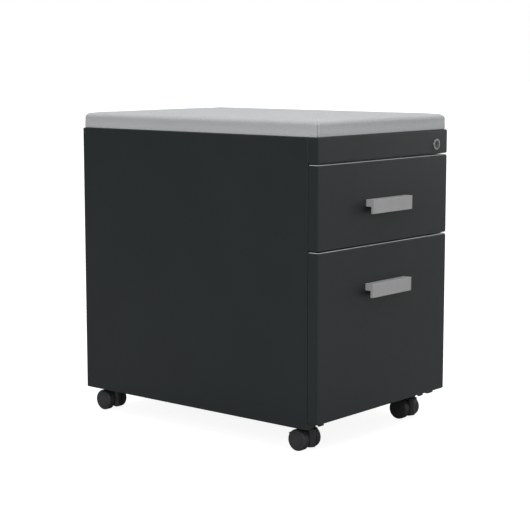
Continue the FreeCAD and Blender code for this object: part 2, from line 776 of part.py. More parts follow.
def caster_wheel(x, y, side):
    """Dished wheel with a domed cap face and rounded shoulder; side is -1 left or 1 right."""
    bore = axle_radius + running_gap
    disc = wheel_outer - wheel_disc
    rim_inner = wheel_radius - wheel_rim
    face_radius = wheel_radius - wheel_shoulder
    outline = [(axle_end(), 0)]
    for share in (0, 0.25, 0.5, 0.75):
        outline.append((wheel_outer - wheel_dome * share ** 2, face_radius * share))
    for step in range(7):
        turn = math.radians(15 * step)
        outline.append((wheel_outer - wheel_dome - wheel_shoulder * (1 - math.cos(turn)),
                        face_radius + wheel_shoulder * math.sin(turn)))
    outline += [(wheel_inner + wheel_edge, wheel_radius), (wheel_inner, wheel_radius - wheel_edge),
                (wheel_inner, rim_inner), (disc, rim_inner), (disc, wheel_hub_radius),
                (wheel_inner, wheel_hub_radius), (wheel_inner, bore), (axle_end(), bore)]
    if side < 0:
        outline = [(-across, radius) for across, radius in outline]
    return turned(outline, vec(x, y + caster_trail, wheel_radius))


# Write the pieces

os.makedirs("parts", exist_ok=True)

right_panel = side_panel()
save("side_panel_right", right_panel)
save("side_panel_left", mirrored(right_panel))
save("back_panel", back_panel())
save("top_panel", top_panel())
save("bottom_pan", bottom_pan())
save("lock_fascia", lock_fascia())
uprights = [upright(start) for start in upright_starts()]
save("slide_uprights_right", *uprights)
save("slide_uprights_left", *[mirrored(piece) for piece in uprights])
screws = [slide_screw(start, z) for start in upright_starts() for z in (box_slide_z, file_slide_z)]
screws += [mirrored(screw) for screw in screws]
save("case_screws", *(screws + cushion_screws()))
save("caster_rail_front", caster_rail(front_stem_y, True))
save("caster_rail_rear", caster_rail(rear_stem_y, False))
save("counterweight", counterweight())

save("seat_cushion", seat_cushion())
save("cushion_board", cushion_board())

save("lock_housing", lock_housing())
save("lock_nut", lock_nut())
save("lock_plug", lock_plug())
save("lock_cam", lock_cam())
save("lock_cam_screw", lock_cam_screw())
save("lock_bar", lock_bar())
save("lock_bar_guides", lock_bar_guide(box_front_top - box_guide_drop),
     lock_bar_guide(file_front_top - file_guide_drop))

drawers = (("box", box_front_bottom, box_front_top, box_floor, box_body_height, box_slide_z,
            box_catch_top),
           ("file", file_front_bottom, file_front_top, file_floor, file_body_height, file_slide_z,
            file_catch_top))
for label, z0, z1, floor, height, slide_z, catch_top in drawers:
    save(f"{label}_drawer_front", front_skin(z0, z1))
    save(f"{label}_drawer_liner", front_liner(z0, z1))
    save(f"{label}_drawer_body", drawer_body(floor, height))
    save(f"{label}_drawer_pull", pull(z1))
    save(f"{label}_pull_screws", *pull_screws(z1))
    save(f"{label}_drawer_catch", catch(catch_top))
    for member, make in (("outer", slide_outer), ("middle", slide_middle), ("inner", slide_inner)):
        piece = make(slide_z)
        save(f"{label}_slides_{member}", piece, mirrored(piece))
right_rail = hanging_rail()
save("hanging_file_rails", right_rail, mirrored(right_rail))

places = stem_places()
save("caster_stems", *[caster_stem(x, y) for x, y in places])
save("caster_nuts", *[caster_nut(x, y) for x, y in places])
for (x, y), corner in zip(places, ("front_left", "front_right", "rear_left", "rear_right")):
    is_front = corner.startswith("front")
    save(f"caster_hood_{corner}", caster_hood(x, y, is_front))
    save(f"caster_axle_{corner}", caster_axle(x, y))
    save(f"wheel_{corner}_a", caster_wheel(x, y, -1))
    save(f"wheel_{corner}_b", caster_wheel(x, y, 1))
    if is_front:
        save(f"brake_lever_{corner}", brake_lever(x, y))
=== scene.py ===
import math
import bpy
import numpy as np
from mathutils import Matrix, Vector


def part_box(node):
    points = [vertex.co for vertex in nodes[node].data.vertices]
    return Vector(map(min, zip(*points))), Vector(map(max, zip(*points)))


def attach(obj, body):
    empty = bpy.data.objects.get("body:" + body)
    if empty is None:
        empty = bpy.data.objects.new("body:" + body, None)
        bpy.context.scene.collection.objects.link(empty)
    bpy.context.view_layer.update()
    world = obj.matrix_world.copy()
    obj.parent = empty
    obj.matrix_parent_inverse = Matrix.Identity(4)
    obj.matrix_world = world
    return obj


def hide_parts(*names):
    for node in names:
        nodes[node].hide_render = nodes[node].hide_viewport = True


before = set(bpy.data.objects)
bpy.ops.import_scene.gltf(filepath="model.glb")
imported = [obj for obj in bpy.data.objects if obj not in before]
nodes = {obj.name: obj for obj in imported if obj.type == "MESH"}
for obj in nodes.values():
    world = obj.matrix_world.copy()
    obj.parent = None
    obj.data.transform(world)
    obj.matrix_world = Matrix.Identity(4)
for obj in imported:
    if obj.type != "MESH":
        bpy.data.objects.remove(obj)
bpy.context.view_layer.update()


# meshes from whole arrays

def makePiece(name, points, faces, finish, body=None, smooth=True):
    mesh = bpy.data.meshes.new(name)
    mesh.from_pydata(np.asarray(points, float).reshape(-1, 3).tolist(), [], [list(f) for f in faces])
    mesh.materials.append(finish)
    mesh.polygons.foreach_set("use_smooth", np.full(len(mesh.polygons), smooth))
    mesh.update()
    piece = bpy.data.objects.new(name, mesh)
    bpy.context.scene.collection.objects.link(piece)
    if body:
        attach(piece, body)
    return piece


def gridFaces(rows, columns):
    # quads between row r and r + 1; the last column meets the first
    r = np.arange(rows - 1)[:, None]
    c = np.arange(columns)[None, :]
    after = (c + 1) % columns
    quads = np.stack([r * columns + c, r * columns + after,
                      (r + 1) * columns + after, (r + 1) * columns + c], -1)
    return quads.reshape(-1, 4).tolist()


def joinParts(parts):
    # stacks (points, faces) pairs into one pair
    points, faces, count = [], [], 0
    for partPoints, partFaces in parts:
        flat = np.asarray(partPoints, float).reshape(-1, 3)
        points.append(flat)
        faces += [[i + count for i in face] for face in partFaces]
        count += len(flat)
    return np.concatenate(points), faces


def turnedPart(profile, centre, axis, sides):
    # revolved profile of (along, radius): radius times (cos a, sin a) round the axis through centre,
    # with both ends of the profile closed by a flat face
    profile = np.asarray(profile, float)
    a = np.linspace(0, 2 * math.pi, sides, endpoint=False)
    along = np.repeat(profile[:, :1], sides, 1)
    first = profile[:, 1:] * np.cos(a)
    second = profile[:, 1:] * np.sin(a)
    order = {"x": (along, first, second), "y": (second, along, first)}
    points = np.stack(order[axis], -1) + np.asarray(centre, float)
    last = (len(profile) - 1) * sides
    faces = gridFaces(len(profile), sides)
    faces += [list(range(sides))[::-1], list(range(last, last + sides))]
    return points, faces


def facingOut(points, faces):
    # turns every face round when the closed form's volume comes out negative
    flat = np.asarray(points, float).reshape(-1, 3)
    volume = 0.0
    for sides in sorted({len(face) for face in faces}):
        ring = flat[np.array([face for face in faces if len(face) == sides])]
        for k in range(1, sides - 1):
            volume += np.sum(ring[:, 0] * np.cross(ring[:, k], ring[:, k + 1]))
    return points, (faces if volume > 0 else [face[::-1] for face in faces])


def ringCaps(rows, columns):
    # closes the first and last ring by quads that pair the ring's two long sides
    k = np.arange(columns // 2 - 1)
    quads = np.stack([k, k + 1, columns - 2 - k, columns - 1 - k], -1)
    return quads[:, ::-1].tolist() + (quads + (rows - 1) * columns).tolist()


def slabOutline(u, halfX, halfY, radius):
    # rounded rectangle by arc length u from 0 to 1: four straights and four quarter circles
    straightX, straightY = 2 * (halfX - radius), 2 * (halfY - radius)
    arc = math.pi * radius / 2
    stops = np.cumsum([0, straightY, arc, straightX, arc, straightY, arc, straightX, arc])
    s = (u % 1.0) * stops[-1]
    px, py = np.zeros_like(s), np.zeros_like(s)
    starts = ((halfX, -halfY + radius, 0, 1), (halfX - radius, halfY, -1, 0),
              (-halfX, halfY - radius, 0, -1), (-halfX + radius, -halfY, 1, 0))
    for k, (x0, y0, dx, dy) in enumerate(starts):
        on = (s >= stops[2 * k]) & (s < stops[2 * k + 1])
        t = s[on] - stops[2 * k]
        px[on], py[on] = x0 + dx * t, y0 + dy * t
        on = (s >= stops[2 * k + 1]) & (s <= stops[2 * k + 2])
        a = (s[on] - stops[2 * k + 1]) / radius + k * math.pi / 2
        cx = (halfX - radius) * (1 if k in (0, 3) else -1)
        cy = (halfY - radius) * (1 if k in (0, 1) else -1)
        px[on], py[on] = cx + radius * np.cos(a), cy + radius * np.sin(a)
    return px, py


def readPoints(mesh):
    flat = np.empty(len(mesh.vertices) * 3)
    mesh.vertices.foreach_get("co", flat)
    return flat.reshape(-1, 3)


def writePoints(mesh, points):
    mesh.vertices.foreach_set("co", points.ravel())
    mesh.update()


def applyAll(piece):
    # gives the piece the mesh that its modifiers make, and takes the modifiers off
    graph = bpy.context.evaluated_depsgraph_get()
    graph.update()
    mesh = bpy.data.meshes.new_from_object(piece.evaluated_get(graph), preserve_all_data_layers=True,
                                           depsgraph=graph)
    piece.modifiers.clear()
    piece.data = mesh


# materials

def addNode(tree, kind, inputs=None, **settings):
    node = tree.nodes.new("ShaderNode" + kind)
    for key, value in settings.items():
        setattr(node, key, value)
    for key, value in (inputs or {}).items():
        if isinstance(value, bpy.types.NodeSocket):
            tree.links.new(value, node.inputs[key])
        else:
            node.inputs[key].default_value = value
    return node


def maths(tree, operation, first, second):
    return addNode(tree, "Math", {0: first, 1: second}, operation=operation).outputs[0]


def newFinish(name):
    finish = bpy.data.materials.new(name)
    finish.use_nodes = True
    tree = finish.node_tree
    shader = tree.nodes["Principled BSDF"]
    place = addNode(tree, "TexCoord").outputs["Object"]
    return finish, tree, shader, place


def ramp(tree, factor, stops):
    node = addNode(tree, "ValToRGB", {"Fac": factor})
    elements = node.color_ramp.elements
    while len(elements) < len(stops):
        elements.new(0.5)
    for element, (position, colour) in zip(elements, stops):
        element.position = position
        element.color = (*colour, 1.0)
    return node.outputs["Color"]


def scaled(tree, place, scale):
    return addNode(tree, "Mapping", {"Vector": place, "Scale": scale}).outputs["Vector"]


def noise(tree, place, scale, detail=3.0, roughness=0.55):
    return addNode(tree, "TexNoise", {"Vector": place, "Scale": scale, "Detail": detail,
                                      "Roughness": roughness}).outputs["Fac"]


def spread(tree, value, low, high):
    # carries a noise's usual range, 0.3 to 0.7, to the range from low to high
    return addNode(tree, "MapRange", {"Value": value, "From Min": 0.3, "From Max": 0.7,
                                      "To Min": low, "To Max": high}).outputs["Result"]


def bumped(tree, shader, height, distance, strength, under=None):
    inputs = {"Height": height, "Distance": distance, "Strength": strength}
    if under:
        inputs["Normal"] = under
    tree.links.new(addNode(tree, "Bump", inputs).outputs["Normal"], shader.inputs["Normal"])


def softEdges(tree, radius):
    # the normal of a surface whose sharp edges are rounded by radius
    return addNode(tree, "Bevel", {"Radius": radius}, samples=6).outputs["Normal"]


def edgeMask(tree, rounded, flat, sharp):
    # 1 on a sharp edge and 0 on a flat face: the cosine between the rounded normal and the shaded one,
    # carried from flat and sharp to 0 and 1
    straight = addNode(tree, "NewGeometry").outputs["Normal"]
    lean = addNode(tree, "VectorMath", {0: rounded, 1: straight}, operation="DOT_PRODUCT").outputs["Value"]
    return addNode(tree, "MapRange", {"Value": lean, "From Min": flat, "From Max": sharp,
                                      "To Min": 0.0, "To Max": 1.0}).outputs["Result"]


def tinted(tree, shader, factor, dark, light, span=(0.3, 0.7)):
    # base colour from dark to light as the factor crosses the span
    colour = ramp(tree, factor, [(span[0], dark), (span[1], light)])
    tree.links.new(colour, shader.inputs["Base Color"])
    return colour


# edge is the lighter colour mixed in on the edges: part rubbed wear, part a painted highlight
paint = {
    "dark": (0.0120, 0.0168, 0.0178), "light": (0.0150, 0.0205, 0.0216), "edge": (0.034, 0.041, 0.043),
    "toneScale": 7.0, "rubAndSheenScale": 60.0, "rubAndSheen": (0.1, 0.7), "edgeRadius": 0.0007, "lean": (0.995, 0.85),
    "roughness": (0.40, 0.44), "dullScale": 45.0, "specular": 0.5,
    "grainScale": 1300.0, "grainDepth": 0.00005, "grainStrength": 0.5,
}


def powderCoat(name):
    # fine orange peel, a slow change of tone, and edges painted a little lighter in patches: part rubbed
    # wear and part a painted highlight
    finish, tree, shader, place = newFinish(name)
    rounded = softEdges(tree, paint["edgeRadius"])
    colour = tinted(tree, shader, noise(tree, place, paint["toneScale"], 4.0), paint["dark"], paint["light"])
    wearAndSheenPatches = spread(tree, noise(tree, place, paint["rubAndSheenScale"]), *paint["rubAndSheen"])
    # edge mask times patchy noise: where the edges are painted lighter, part wear and part painted highlight
    rubAndSheen = maths(tree, "MULTIPLY", edgeMask(tree, rounded, *paint["lean"]), wearAndSheenPatches)
    mixed = addNode(tree, "Mix", {0: rubAndSheen, 6: colour, 7: (*paint["edge"], 1.0)}, data_type="RGBA")
    tree.links.new(mixed.outputs[2], shader.inputs["Base Color"])
    tree.links.new(spread(tree, noise(tree, place, paint["dullScale"]), *paint["roughness"]),
                   shader.inputs["Roughness"])
    shader.inputs["Specular IOR Level"].default_value = paint["specular"]
    grain = noise(tree, place, paint["grainScale"], 2.0, 0.5)
    bumped(tree, shader, grain, paint["grainDepth"], paint["grainStrength"], rounded)
    return finish


brushed = {
    "scale": 2600.0, "squeeze": 0.02, "dull": 0.9, "toneScale": 18.0, "edgeRadius": 0.0006,
    "depth": 0.00002, "strength": 0.4,
}


def satinMetal(name, base, roughness, brushAlong, metallic=1.0):
    # brushed along one axis: noise squeezed along the brushing
    finish, tree, shader, place = newFinish(name)
    squeeze = [1.0, 1.0, 1.0]
    squeeze[brushAlong] = brushed["squeeze"]
    streaks = noise(tree, scaled(tree, place, squeeze), brushed["scale"], 2.0)
    dull = tuple(brushed["dull"] * c for c in base)
    tinted(tree, shader, noise(tree, place, brushed["toneScale"]), dull, base)
    tree.links.new(spread(tree, streaks, *roughness), shader.inputs["Roughness"])
    shader.inputs["Metallic"].default_value = metallic
    bumped(tree, shader, streaks, brushed["depth"], brushed["strength"],
           softEdges(tree, brushed["edgeRadius"]))
    return finish


plating = {
    "toneScale": 90.0, "dullScale": 700.0, "roughness": (0.16, 0.24), "edgeRadius": 0.0002,
    "rippleScale": 900.0, "rippleDepth": 0.00001, "rippleStrength": 0.3,
}


def platedMetal(name, dull, bright):
    # smooth plating with a faint ripple
    finish, tree, shader, place = newFinish(name)
    tinted(tree, shader, noise(tree, place, plating["toneScale"]), dull, bright)
    tree.links.new(spread(tree, noise(tree, place, plating["dullScale"]), *plating["roughness"]),
                   shader.inputs["Roughness"])
    shader.inputs["Metallic"].default_value = 1.0
    bumped(tree, shader, noise(tree, place, plating["rippleScale"]), plating["rippleDepth"],
           plating["rippleStrength"], softEdges(tree, plating["edgeRadius"]))
    return finish


plastic = {
    "toneScale": 40.0, "dullScale": 220.0, "specular": 0.4, "edgeRadius": 0.0005,
    "grainDepth": 0.00005, "grainStrength": 0.35,
}


def mouldedPlastic(name, dark, light, roughness, grainScale):
    # spark-eroded grain with a slow change of tone
    finish, tree, shader, place = newFinish(name)
    tinted(tree, shader, noise(tree, place, plastic["toneScale"], 4.0), dark, light)
    tree.links.new(spread(tree, noise(tree, place, plastic["dullScale"]), *roughness),
                   shader.inputs["Roughness"])
    shader.inputs["Specular IOR Level"].default_value = plastic["specular"]
    bumped(tree, shader, noise(tree, place, grainScale, 2.0), plastic["grainDepth"],
           plastic["grainStrength"], softEdges(tree, plastic["edgeRadius"]))
    return finish


casting = {
    "dark": (0.02, 0.02, 0.021), "light": (0.05, 0.048, 0.046), "span": (0.35, 0.65),
    "roughness": (0.55, 0.8), "scale": 320.0, "depth": 0.0004, "strength": 0.6,
}


def castIron(name):
    # rough sand-cast skin: one coarse noise for colour, roughness and height
    finish, tree, shader, place = newFinish(name)
    rough = noise(tree, place, casting["scale"], 6.0, 0.7)
    tinted(tree, shader, rough, casting["dark"], casting["light"], casting["span"])
    tree.links.new(spread(tree, rough, *casting["roughness"]), shader.inputs["Roughness"])
    bumped(tree, shader, rough, casting["depth"], casting["strength"])
    return finish


board = {
    "dark": (0.36, 0.22, 0.11), "light": (0.62, 0.43, 0.25), "span": (0.35, 0.65),
    "roughness": (0.55, 0.75), "drawnOut": (1.0, 0.06, 1.0), "layered": (0.01, 0.01, 1.0),
    "grainScale": 260.0, "plyScale": 700.0, "depth": 0.0002, "strength": 0.4,
}


def plywood(name):
    # long grain along y, and plies that band with height: the mean of a noise drawn out along y
    # and one that changes along z only
    finish, tree, shader, place = newFinish(name)
    grain = noise(tree, scaled(tree, place, board["drawnOut"]), board["grainScale"], 6.0, 0.6)
    plies = noise(tree, scaled(tree, place, board["layered"]), board["plyScale"], 1.0)
    both = maths(tree, "MULTIPLY", maths(tree, "ADD", grain, plies), 0.5)
    tinted(tree, shader, both, board["dark"], board["light"], board["span"])
    tree.links.new(spread(tree, grain, *board["roughness"]), shader.inputs["Roughness"])
    bumped(tree, shader, grain, board["depth"], board["strength"])
    return finish


cloth = {
    "dark": (0.455, 0.472, 0.484), "light": (0.635, 0.652, 0.664), "span": (0.32, 0.68),
    "pitch": 0.0011, "depth": 0.00022, "strength": 0.5, "wobbleScale": 420.0, "wobble": 0.0005,
    "fleckScale": 520.0, "blotchScale": 9.0, "blotch": 0.25,
    "roughness": 0.92, "specular": 0.15, "sheen": 0.12, "sheenRoughness": 0.5,
}


def weaveHeight(tree, place):
    # plain weave: threads over and under by sin(x) sin(y), taken on the plane that each face lies in,
    # so each pair's product is weighted by the square of the normal's third part
    wobble = addNode(tree, "TexNoise", {"Vector": place, "Scale": cloth["wobbleScale"], "Detail": 1.0})
    shift = addNode(tree, "VectorMath", {0: wobble.outputs["Color"], 1: (cloth["wobble"],) * 3},
                    operation="MULTIPLY").outputs["Vector"]
    bent = addNode(tree, "VectorMath", {0: place, 1: shift}, operation="ADD").outputs["Vector"]
    turns = math.pi / cloth["pitch"]
    waves = addNode(tree, "VectorMath", {0: bent, 1: (turns,) * 3}, operation="MULTIPLY").outputs["Vector"]
    waves = addNode(tree, "VectorMath", {0: waves}, operation="SINE").outputs["Vector"]
    sines = addNode(tree, "SeparateXYZ", {"Vector": waves}).outputs
    normal = addNode(tree, "TexCoord").outputs["Normal"]
    sides = addNode(tree, "VectorMath", {0: normal}, operation="ABSOLUTE").outputs["Vector"]
    weights = addNode(tree, "SeparateXYZ", {"Vector": sides}).outputs
    height = 0.0
    for a, b, w in ((0, 1, 2), (0, 2, 1), (1, 2, 0)):
        pair = maths(tree, "MULTIPLY", sines[a], sines[b])
        part = maths(tree, "MULTIPLY", pair, maths(tree, "POWER", weights[w], 2.0))
        height = maths(tree, "ADD", height, part)
    return height


def wovenSeat(name):
    # the weave's height, short flecks and a faint slow blotch share the colour, the height as painted shade:
    # hollows between the threads darker and crowns lighter; sheen lifts the rim
    finish, tree, shader, place = newFinish(name)
    height = weaveHeight(tree, place)
    fleck = noise(tree, place, cloth["fleckScale"], 3.0, 0.6)
    # painted shade: the weave's lower parts darker and its higher parts lighter
    paintedWeaveShade = addNode(tree, "MapRange", {"Value": height, "From Min": -1.0, "From Max": 1.0,
                                      "To Min": 0.3, "To Max": 0.7}).outputs["Result"]
    faint = maths(tree, "MULTIPLY", noise(tree, place, cloth["blotchScale"], 3.0), cloth["blotch"])
    total = maths(tree, "ADD", maths(tree, "ADD", paintedWeaveShade, fleck), faint)
    mean = maths(tree, "MULTIPLY", total, 1 / (2 + cloth["blotch"]))
    tinted(tree, shader, mean, cloth["dark"], cloth["light"], cloth["span"])
    shader.inputs["Roughness"].default_value = cloth["roughness"]
    shader.inputs["Specular IOR Level"].default_value = cloth["specular"]
    shader.inputs["Sheen Weight"].default_value = cloth["sheen"]
    shader.inputs["Sheen Roughness"].default_value = cloth["sheenRoughness"]
    bumped(tree, shader, maths(tree, "ADD", height, fleck), cloth["depth"], cloth["strength"])
    return finish


casePaint = powderCoat("charcoal_powder_coat")
innerPaint = powderCoat("inner_powder_coat")
pullAluminium = satinMetal("satin_aluminium", (0.50, 0.50, 0.505), (0.44, 0.54), 0, 0.15)
slideZinc = satinMetal("bright_zinc", (0.62, 0.63, 0.65), (0.3, 0.42), 1)
stemZinc = satinMetal("blackened_zinc", (0.055, 0.055, 0.057), (0.4, 0.5), 2)
# light grey beads on the fronts' top edges, a painted highlight for the lit gap lines
paintedHighlightBead = mouldedPlastic("painted_highlight_bead", (0.60, 0.61, 0.615), (0.68, 0.69, 0.695), (0.45, 0.55), 800.0)
lockChrome = platedMetal("polished_chrome", (0.40, 0.405, 0.41), (0.48, 0.485, 0.49))
plugNickel = platedMetal("smoked_nickel", (0.13, 0.13, 0.135), (0.22, 0.22, 0.225))
hoodNylon = mouldedPlastic("caster_nylon", (0.034, 0.035, 0.038), (0.048, 0.049, 0.052), (0.34, 0.44), 900.0)
treadNylon = mouldedPlastic("tread_nylon", (0.040, 0.041, 0.045), (0.056, 0.057, 0.061), (0.36, 0.46), 700.0)
guideAcetal = mouldedPlastic("acetal", (0.02, 0.02, 0.02), (0.03, 0.03, 0.03), (0.4, 0.5), 900.0)
bumperRubber = mouldedPlastic("bumper_rubber", (0.012, 0.012, 0.012), (0.02, 0.02, 0.02), (0.7, 0.85), 500.0)
seatCloth = wovenSeat("light_grey_weave")

slotFinish = {
    "case_paint": casePaint, "inner_paint": innerPaint, "pull_metal": pullAluminium,
    "lock_chrome": lockChrome, "seat_fabric": seatCloth, "board_wood": plywood("birch_ply"),
    "weight_iron": castIron("cast_iron"), "caster_plastic": hoodNylon, "wheel_tread": treadNylon,
    "guide_plastic": guideAcetal, "zinc_steel": slideZinc,
}
for node in nodes.values():
    for index, slot in enumerate(node.data.materials):
        node.data.materials[index] = slotFinish[slot.name.split(".")[0]]
for name, finish in (("caster_stems", stemZinc), ("caster_nuts", stemZinc), ("lock_plug", plugNickel)):
    nodes[name].data.materials[0] = finish
print("finishes:", len(slotFinish), "slots on", len(nodes), "nodes")


# camera, light and floor

view = {"place": (-2.1196, -1.7749, 0.6718), "tilt": 82.025, "turn": -49.998, "lens": 101.74,
        "sensor": 36.0}


def placeObject(name, data, place=(0.0, 0.0, 0.0), turn=(0.0, 0.0, 0.0)):
    thing = bpy.data.objects.new(name, data)
    thing.location = place
    thing.rotation_euler = turn
    bpy.context.scene.collection.objects.link(thing)
    return thing


cameraData = bpy.data.cameras.new("camera")
cameraData.lens = view["lens"]
cameraData.sensor_width = view["sensor"]
bpy.context.scene.camera = placeObject("camera", cameraData, view["place"],
                                       (math.radians(view["tilt"]), 0.0, math.radians(view["turn"])))
bpy.context.scene.view_settings.view_transform = "Standard"

light = {
    "room": 0.12, "tightness": 2.2, "sun": 1.9, "sunSpread": 70.0, "aim": (0.0, 0.0, 0.25),
    "glows": (((0.76, 0.63, 0.15), 0.90), ((0.80, -0.60, 0.05), 0.11)),
}
softBoxes = {
    "camera_side": {"place": (-3.2, -1.7, 1.85), "size": 2.4, "power": 56.0},
    "front": {"place": (0.5, -3.4, 1.0), "size": 1.6, "power": 7.5},
    "front_right": {"place": (2.05, -0.98, 0.75), "size": 0.6, "power": 3.0},
}


def glowTowards(tree, direction, strength):
    # strength times (cosine of the angle to direction) to the power tightness, and none behind it
    facing = addNode(tree, "TexCoord").outputs["Generated"]
    cosine = addNode(tree, "VectorMath", {0: facing, 1: direction}, operation="DOT_PRODUCT").outputs["Value"]
    power = maths(tree, "POWER", maths(tree, "MAXIMUM", cosine, 0.0), light["tightness"])
    return maths(tree, "MULTIPLY", power, strength)


def studioWorld():
    # dim room with two broad glows for the object, and plain white behind it
    world = bpy.data.worlds.new("studio")
    world.use_nodes = True
    tree = world.node_tree
    room = tree.nodes["Background"]
    total = light["room"]
    for direction, strength in light["glows"]:
        total = maths(tree, "ADD", total, glowTowards(tree, direction, strength))
    tree.links.new(total, room.inputs["Strength"])
    room.inputs["Color"].default_value = (1.0, 1.0, 1.0, 1.0)
    white = addNode(tree, "Background", {"Color": (1.0, 1.0, 1.0, 1.0)})
    seen = addNode(tree, "LightPath").outputs["Is Camera Ray"]
    mix = addNode(tree, "MixShader", {0: seen, 1: room.outputs[0], 2: white.outputs[0]})
    tree.links.new(mix.outputs[0], tree.nodes["World Output"].inputs["Surface"])
    bpy.context.scene.world = world


def studioLights():
    sun = bpy.data.lights.new("overhead", "SUN")
    sun.energy = light["sun"]
    sun.angle = math.radians(light["sunSpread"])
    placeObject("overhead", sun)
    for name, box in softBoxes.items():
        data = bpy.data.lights.new(name, "AREA")
        data.energy = box["power"]
        data.size = box["size"]
        aim = Vector(light["aim"]) - Vector(box["place"])
        lamp = placeObject(name, data, box["place"], aim.to_track_quat("-Z", "Y").to_euler())
        lamp.visible_camera = False


floor = {"half": 30.0, "dark": 0.38, "light": 0.3914, "toneScale": 3.0, "glow": 0.90,
         "roughness": 0.9, "specular": 0.1}


def studioFloor():
    # pale floor whose glow is seen but lights nothing
    finish, tree, shader, place = newFinish("pale_floor")
    tinted(tree, shader, noise(tree, place, floor["toneScale"]), (floor["dark"],) * 3, (floor["light"],) * 3)
    shader.inputs["Roughness"].default_value = floor["roughness"]
    shader.inputs["Specular IOR Level"].default_value = floor["specular"]
    shader.inputs["Emission Color"].default_value = (1.0, 1.0, 1.0, 1.0)
    seen = addNode(tree, "LightPath").outputs["Is Camera Ray"]
    tree.links.new(maths(tree, "MULTIPLY", seen, floor["glow"]), shader.inputs["Emission Strength"])
    h = floor["half"]
    corners = [(-h, -h, 0), (h, -h, 0), (h, h, 0), (-h, h, 0)]
    makePiece("studio_floor", corners, [[0, 1, 2, 3]], finish, smooth=False)


studioWorld()
studioLights()
studioFloor()
print("studio ready")


# seat cushion: a grid over a rounded slab, swollen by cloth and then sewn at its corners

cushion = {
    "topRadius": 0.0075, "cornerRadius": 0.0045, "bottomRadius": 0.0012, "taper": 0.0006,
    "columns": 640, "cornerDensity": 14.0, "cornerReach": 0.011, "underInsets": (0.060, 0.020, 0.008),
    "topInsets": (0.0125, 0.017, 0.023, 0.031, 0.042, 0.056, 0.074, 0.096, 0.121, 0.148),
    "crown": 0.0008, "crownStart": 0.003, "crownReach": 0.145, "crownPower": 0.6,
}
air = {
    "inset": 0.0012, "voxel": 0.005, "pressure": 4.0, "stiffness": 30, "bending": 2.0, "steps": 20,
    "seated": 0.004, "cap": 0.0016, "reach": 0.005, "batches": 60,
}
seam = {
    "depth": 0.0032, "half": 0.0009, "bulge": 0.0005, "start": 0.004, "fade": 0.006,
    "rollAway": 0.0045, "rollHalf": 0.0028, "dimpleHalf": 0.0022, "dimpleDrop": 0.0035,
    "dimpleTall": 0.003, "dimpleIn": 0.0012, "dimpleDown": 0.0010,
}


def cornerSpacing(columns, halfX, halfY, radius):
    # arc positions from 0 to 1 whose density is 1 plus a tall bell at each corner's middle
    arc = math.pi * radius / 2
    straightX, straightY = 2 * (halfX - radius), 2 * (halfY - radius)
    total = 2 * (straightX + straightY) + 4 * arc
    middles = np.cumsum([straightY + arc / 2, arc + straightX, arc + straightY, arc + straightX])
    fine = np.linspace(0, total, 20001)
    density = np.ones_like(fine)
    for middle in middles:
        density += cushion["cornerDensity"] * np.exp(-((fine - middle) / cushion["cornerReach"]) ** 2)
    counted = np.concatenate([[0], np.cumsum((density[1:] + density[:-1]) / 2)])
    counted /= counted[-1]
    return np.interp(np.linspace(0, 1, columns, endpoint=False), counted, fine / total)


def cushionGrid(low, high, inset):
    # columns run round the outline, closer at the corners; rows follow the section (inset, height),
    # and the top rises by the crown times a power of the way in from the edge
    c, columns = cushion, cushion["columns"]
    halfX, halfY = (high[0] - low[0]) / 2 - inset, (high[1] - low[1]) / 2 - inset
    centreX, centreY = (high[0] + low[0]) / 2, (high[1] + low[1]) / 2
    radius = c["cornerRadius"]
    px, py = slabOutline(cornerSpacing(columns, halfX, halfY, radius), halfX, halfY, radius)
    zLow, zHigh = low[2] + inset, high[2] - inset - c["crown"]
    section = [(d, zLow) for d in c["underInsets"]]
    turn = np.radians(np.linspace(-90, 0, 5))
    r = c["bottomRadius"]
    section += [(c["taper"] + r - r * math.cos(t), zLow + r + r * math.sin(t)) for t in turn]
    r = c["topRadius"]
    rise = np.linspace(0.12, 0.94, 9)
    z0, z1 = section[-1][1], zHigh - r
    section += [(c["taper"] * (1 - k), z0 + (z1 - z0) * k) for k in rise]
    turn = np.radians(np.linspace(0, 90, 11))
    section += [(r - r * math.cos(t), z1 + r * math.sin(t)) for t in turn]
    section += [(d, zHigh) for d in c["topInsets"]]
    section = np.array(section)
    s = section[:, :1]
    shrinkX, shrinkY = (halfX - s) / halfX, (halfY - s) / halfY
    x, y = px[None] * shrinkX + centreX, py[None] * shrinkY + centreY
    z = np.repeat(section[:, 1:], columns, 1)
    way = np.clip((s - c["crownStart"]) / c["crownReach"], 0, 1)
    z = z + c["crown"] * way ** c["crownPower"] * (section[:, 1:] > (z0 + z1) / 2)
    rows = len(section)
    points = np.stack([x, y, z], -1)
    faces = gridFaces(rows, columns)
    faces += ringCaps(rows, columns)
    return facingOut(points, faces)


